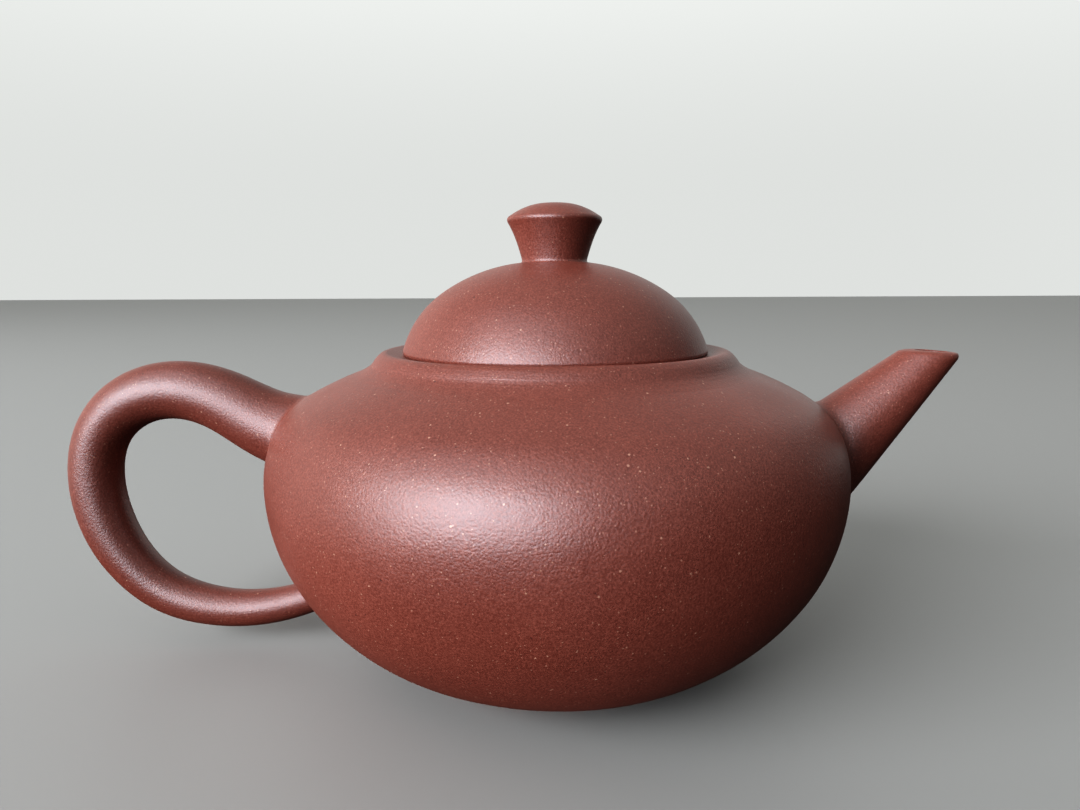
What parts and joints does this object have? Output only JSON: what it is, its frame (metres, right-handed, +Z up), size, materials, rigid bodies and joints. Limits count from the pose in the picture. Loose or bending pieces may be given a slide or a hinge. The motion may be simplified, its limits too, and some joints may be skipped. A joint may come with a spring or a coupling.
{
  "type": "teapot",
  "caption": "Round unglazed clay teapot with a domed lift-off lid, cone-shaped knob, straight tapered spout and ear-shaped loop handle.",
  "frame": {"origin": "centre of the foot ring's rest face, on the pot's axis", "axes": "+Z up the pot's axis, +X towards the spout, handle along -X"},
  "size_m": [0.1523, 0.095, 0.0762],
  "materials": {
    "zisha_clay": "unglazed, satin, fine sandy grain",
    "zisha_clay_lid": "unglazed, satin, fine sandy grain"
  },
  "bodies": {
    "pot": {"body_wall": "zisha_clay", "base_disc": "zisha_clay", "foot_ring": "zisha_clay", "shoulder_disc": "zisha_clay", "mouth_ring": "zisha_clay", "spout": "zisha_clay", "strainer": "zisha_clay", "handle": "zisha_clay"},
    "lid_seat": {"lid_flange": "zisha_clay_lid"},
    "lid": {"lid_dome": "zisha_clay_lid", "lid_plate": "zisha_clay_lid", "knob": "zisha_clay_lid"}
  },
  "joints": [
    {"name": "lid_lift", "type": "slide", "parent": "pot", "child": "lid_seat", "axis": [0, 0, 1], "range_m": [0, 0.06]},
    {"name": "lid_turn", "type": "hinge", "parent": "lid_seat", "child": "lid", "pos_m": [0, 0, 0.0519], "axis": [0, 0, 1], "continuous": true}
  ]
}
